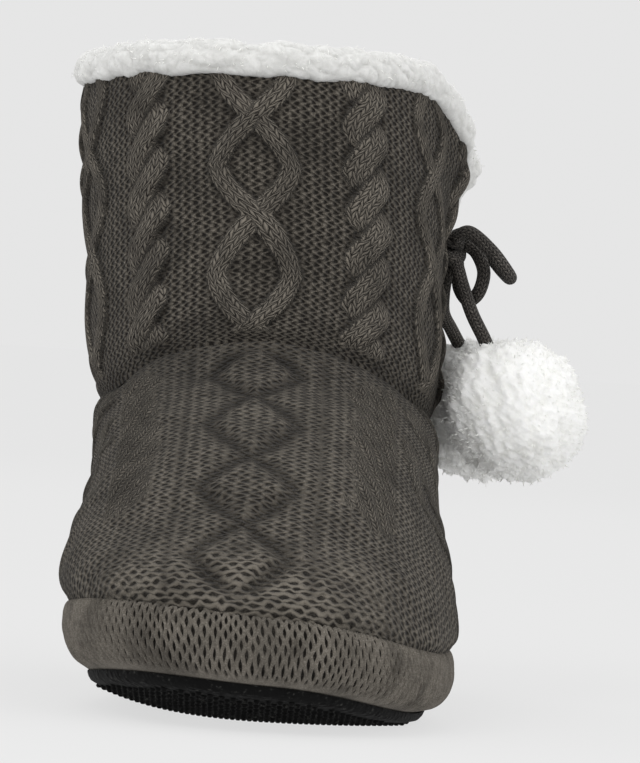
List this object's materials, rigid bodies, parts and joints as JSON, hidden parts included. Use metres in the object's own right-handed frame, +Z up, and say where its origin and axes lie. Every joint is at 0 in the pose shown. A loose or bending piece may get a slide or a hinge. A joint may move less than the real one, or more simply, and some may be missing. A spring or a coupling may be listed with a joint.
{
  "type": "knit bootie slipper",
  "caption": "Charcoal cable-knit bootie slipper for a left foot, with a white fleece collar, side slit, tied cord bow and white pompoms.",
  "frame": {"origin": "middle of the shoe's box, without the tie, on the floor", "axes": "+Z up from the floor, +Y towards the heel, +X towards the outer side with the slit and its tie"},
  "size_m": [0.1545, 0.2622, 0.1836],
  "materials": {
    "knit_charcoal": "matte",
    "fleece_white": "matte",
    "pile_white": "matte",
    "cord_dark": "matte",
    "sole_black": "matte"
  },
  "bodies": {
    "root": {"outsole": "sole_black", "platform": "knit_charcoal", "insole": "fleece_white", "upper": "knit_charcoal", "shaft": "knit_charcoal", "fleece_collar": "fleece_white", "knot": "cord_dark", "loop_upper": "cord_dark", "loop_lower": "cord_dark", "end_front": "cord_dark", "end_rear": "cord_dark", "pompom_front": "pile_white", "pompom_rear": "pile_white"}
  },
  "joints": []
}
